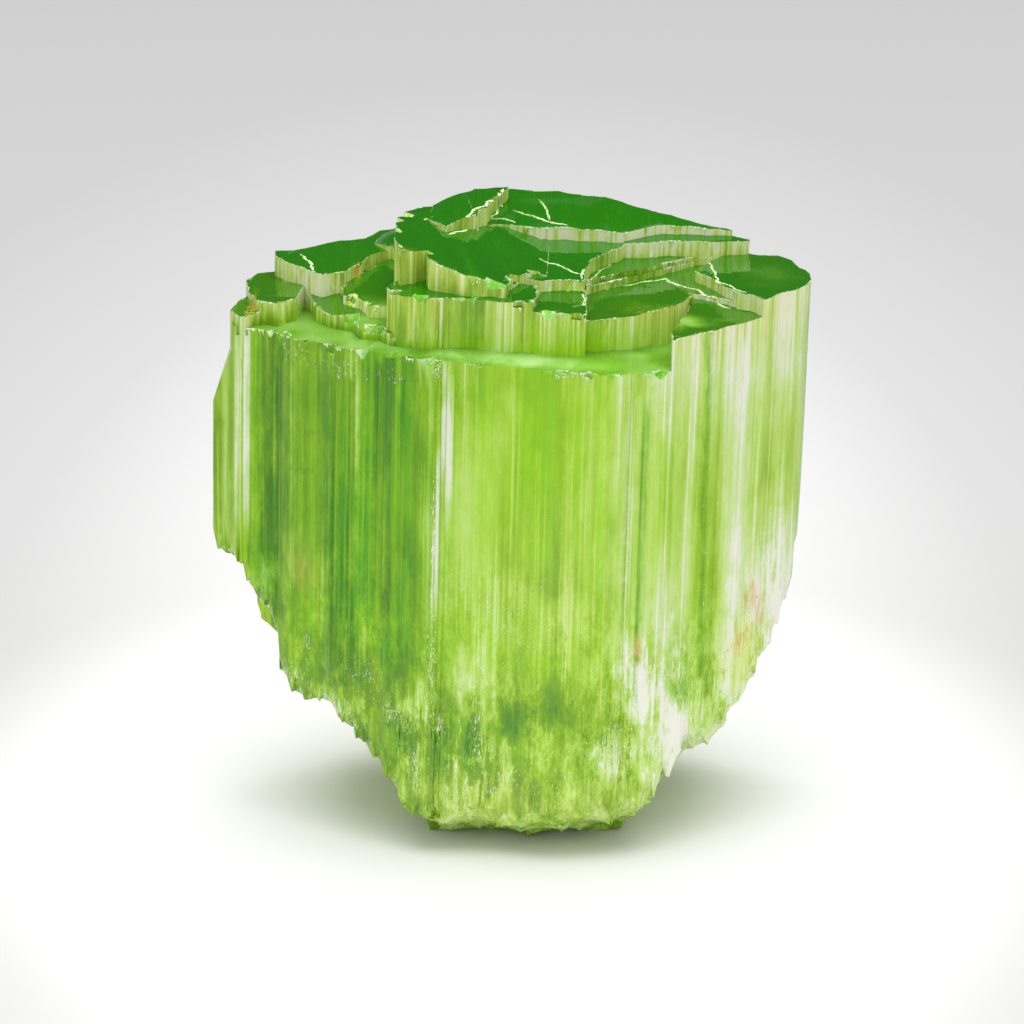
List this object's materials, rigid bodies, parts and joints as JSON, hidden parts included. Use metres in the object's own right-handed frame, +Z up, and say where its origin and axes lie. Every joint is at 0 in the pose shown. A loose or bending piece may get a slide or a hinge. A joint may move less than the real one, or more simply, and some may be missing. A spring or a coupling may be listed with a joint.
{
  "type": "tremolite crystal",
  "caption": "Stout clear-green tremolite prism: ribbed sides, a stepped broken head and a rough root that narrows to a small flat facet it stands on.",
  "frame": {"origin": "middle of the bounding box's underside, in the plane of the resting facet", "axes": "+Z up along the prism, +X along its wide side, +Y along its thin side; the front, with the lower ledge of the head, faces -Y"},
  "size_m": [0.0338, 0.0198, 0.0347],
  "materials": {
    "tremolite": "clear to milky green crystal, silky where ribbed"
  },
  "bodies": {
    "root": {"tremolite_crystal": "tremolite"}
  },
  "joints": []
}
